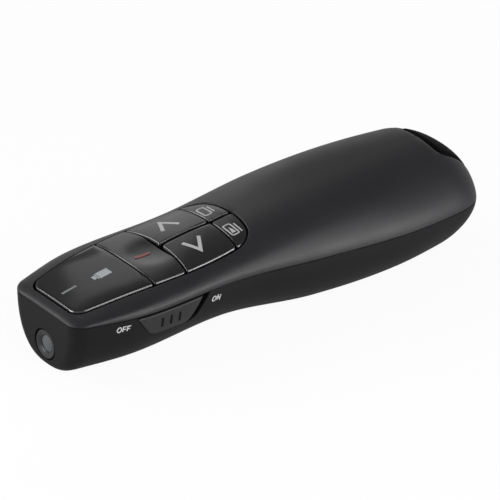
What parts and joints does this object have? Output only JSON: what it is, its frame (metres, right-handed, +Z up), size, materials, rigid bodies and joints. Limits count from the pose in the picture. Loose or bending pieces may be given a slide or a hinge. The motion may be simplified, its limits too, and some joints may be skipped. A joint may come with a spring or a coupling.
{
  "type": "wireless presentation clicker",
  "caption": "Hand-held slide clicker with a key panel, laser pointer, on-off slide switch and a receiver stored in its tail.",
  "frame": {"origin": "under the middle of the body, on the surface that its flat sole rests on", "axes": "+X from the laser nose to the receiver end, +Y away from the slide switch, +Z up"},
  "size_m": [0.1156, 0.038, 0.0275],
  "materials": {
    "upper_shell": "soft satin",
    "lower_shell": "matte, fine grain",
    "window_gloss": "high gloss",
    "key_gloss": "gloss",
    "key_satin": "satin",
    "knob": "satin",
    "red_bar": "clear red, gloss",
    "receiver_gloss": "gloss",
    "receiver_case": "matte",
    "inner_plastic": "matte",
    "switch_plastic": "matte",
    "white_plastic": "matte",
    "clear_plastic": "clear, gloss",
    "board": "solder mask",
    "chip": "matte",
    "ceramic": "satin",
    "steel": "satin",
    "plug_steel": "bright",
    "brass": "satin",
    "lens": "clear",
    "cell_can": "satin",
    "cell_jacket": "gloss"
  },
  "bodies": {
    "grip": {"top_shell": "upper_shell", "bottom_shell": "lower_shell", "key_frame": "inner_plastic", "status_window": "window_gloss", "tact_switches": "steel", "slide_switch_body": "steel", "nose_bezel": "receiver_gloss", "aperture_window": "lens", "laser_barrel": "brass", "laser_lens": "lens", "laser_diode": "brass", "laser_board": "board", "laser_leads": "steel", "main_board": "board", "board_screws": "steel", "case_screws": "steel", "controller_chip": "chip", "radio_chip": "chip", "crystal_can": "steel", "chip_capacitors": "ceramic", "status_leds": "white_plastic", "light_guides": "clear_plastic", "cell_cans": "cell_can", "cell_jackets": "cell_jacket", "front_contacts": "steel", "rear_bridge": "steel", "contact_springs": "steel", "receiver_tray": "inner_plastic"},
    "cover": {"battery_cover": "lower_shell"},
    "slide": {"slide_knob": "knob", "slide_switch_lever": "white_plastic"},
    "laser_key": {"laser_button": "key_gloss", "laser_bar": "red_bar", "laser_switch_stem": "switch_plastic"},
    "previous_key": {"previous_button": "key_satin", "previous_switch_stem": "switch_plastic"},
    "next_key": {"next_button": "key_satin", "next_switch_stem": "switch_plastic"},
    "play_key": {"play_button": "key_satin", "play_switch_stem": "switch_plastic"},
    "blank_key": {"blank_button": "key_satin", "blank_switch_stem": "switch_plastic"},
    "receiver": {"receiver_base": "receiver_case", "receiver_lid": "receiver_case", "receiver_cap": "receiver_gloss", "receiver_board": "board", "receiver_chips": "chip", "plug_shell": "plug_steel", "plug_tongue": "white_plastic", "plug_contacts": "brass"}
  },
  "joints": [
    {"name": "laser_key_press", "type": "slide", "parent": "grip", "child": "laser_key", "axis": [0, 0, -1], "range_m": [0, 0.00035], "stiffness_N_per_m": 1500},
    {"name": "previous_key_press", "type": "slide", "parent": "grip", "child": "previous_key", "axis": [0, 0, -1], "range_m": [0, 0.00035], "stiffness_N_per_m": 1500},
    {"name": "next_key_press", "type": "slide", "parent": "grip", "child": "next_key", "axis": [0, 0, -1], "range_m": [0, 0.00035], "stiffness_N_per_m": 1500},
    {"name": "play_key_press", "type": "slide", "parent": "grip", "child": "play_key", "axis": [0, 0, -1], "range_m": [0, 0.00035], "stiffness_N_per_m": 1500},
    {"name": "blank_key_press", "type": "slide", "parent": "grip", "child": "blank_key", "axis": [0, 0, -1], "range_m": [0, 0.00035], "stiffness_N_per_m": 1500},
    {"name": "switch_slide", "type": "slide", "parent": "grip", "child": "slide", "axis": [1, 0, 0], "range_m": [0, 0.0015]},
    {"name": "cover_tip", "type": "hinge", "parent": "grip", "child": "cover", "pos_m": [-0.0042, 0, 0.00213], "axis": [0, 1, 0], "range_deg": [0, 70]},
    {"name": "receiver_slide", "type": "slide", "parent": "grip", "child": "receiver", "axis": [1, 0, 0], "range_m": [0, 0.055]}
  ]
}
